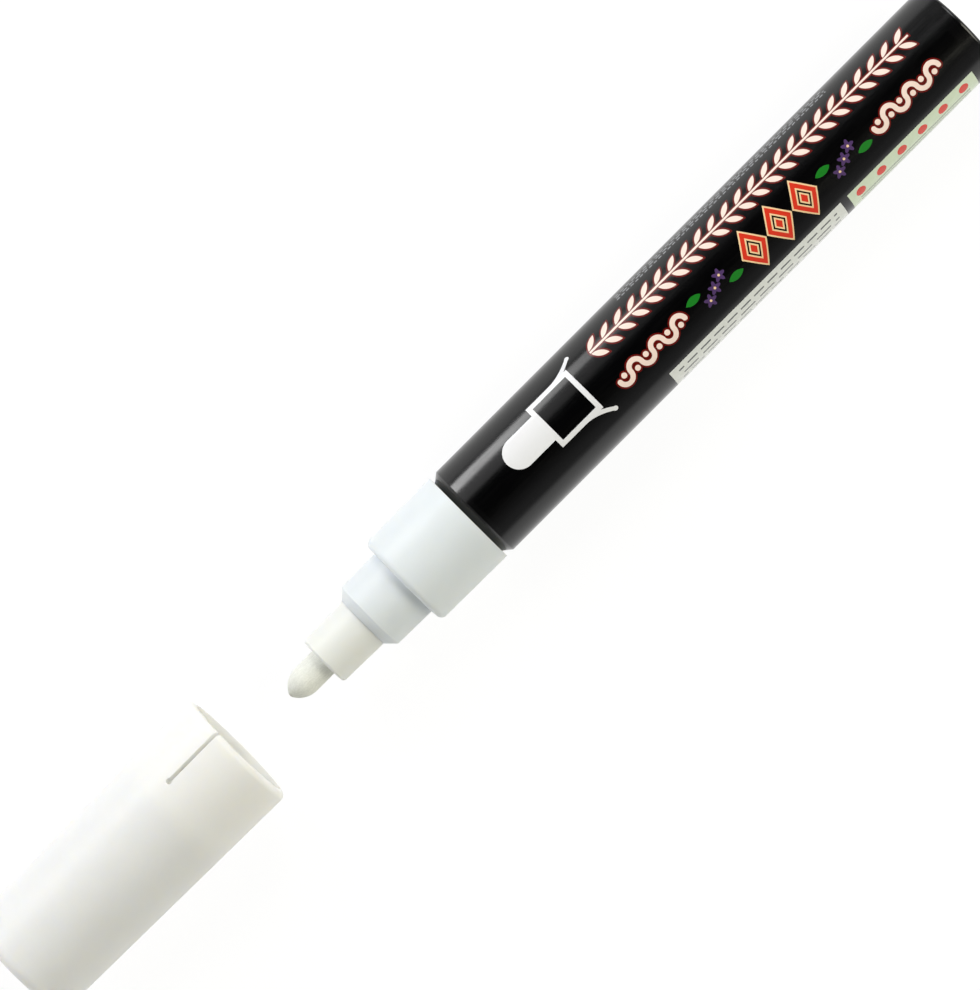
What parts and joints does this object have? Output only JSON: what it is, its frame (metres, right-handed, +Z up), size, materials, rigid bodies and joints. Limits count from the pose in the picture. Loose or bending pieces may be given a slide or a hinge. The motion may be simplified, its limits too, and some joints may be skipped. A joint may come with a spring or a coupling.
{
  "type": "liquid chalk marker",
  "caption": "Liquid chalk marker with a round black barrel, stepped white nose, bullet nib on a sprung pump valve, loose mixing ball and a slotted pull-off cap set in line with the nib.",
  "frame": {"origin": "under the middle of the marker and its pulled-off cap, on the surface that both lie on", "axes": "+X along the marker's axis from nib to tail, +Z up, +Y to the side of the slot in the cap's mouth"},
  "size_m": [0.1848, 0.0188, 0.0188],
  "materials": {
    "barrel_plastic": "gloss black",
    "label_print": "gloss printed film",
    "white_plastic": "satin white",
    "nose_plastic": "satin warm white",
    "nib_fibre": "matte bonded fibre",
    "cap_plastic": "satin white",
    "liner_plastic": "satin natural",
    "seat_rubber": "matte",
    "valve_plastic": "satin natural",
    "spring_steel": "drawn wire",
    "ball_steel": "polished"
  },
  "bodies": {
    "marker": {"barrel": "barrel_plastic", "label_film": "label_print", "tail_plug": "barrel_plastic", "front_section": "white_plastic", "nib_holder": "nose_plastic", "valve_seat": "seat_rubber", "valve_casing": "valve_plastic", "valve_spring": "spring_steel"},
    "cap": {"cap_shell": "cap_plastic", "inner_cap": "liner_plastic"},
    "nib": {"nib": "nib_fibre"},
    "valve_stem": {"valve_stem": "valve_plastic"},
    "mixing_ball": {"mixing_ball": "ball_steel"}
  },
  "joints": [
    {"name": "cap_slide", "type": "slide", "parent": "marker", "child": "cap", "axis": [0.9992, 0, -0.0401], "range_m": [0, 0.04484]},
    {"name": "nib_press", "type": "slide", "parent": "marker", "child": "nib", "axis": [1, 0, 0], "range_m": [0, 0.0025], "stiffness_N_per_m": 1280, "springref_m": -0.0015},
    {"name": "stem_slide", "type": "slide", "parent": "marker", "child": "valve_stem", "axis": [1, 0, 0], "range_m": [0, 0.0025], "deforming": ["valve_spring"]},
    {"name": "ball_roll", "type": "slide", "parent": "marker", "child": "mixing_ball", "axis": [1, 0, 0], "range_m": [-0.0653, 0.0012]}
  ],
  "couplings": [
    {"joint": "stem_slide", "follows": "nib_press", "ratio": 1}
  ]
}
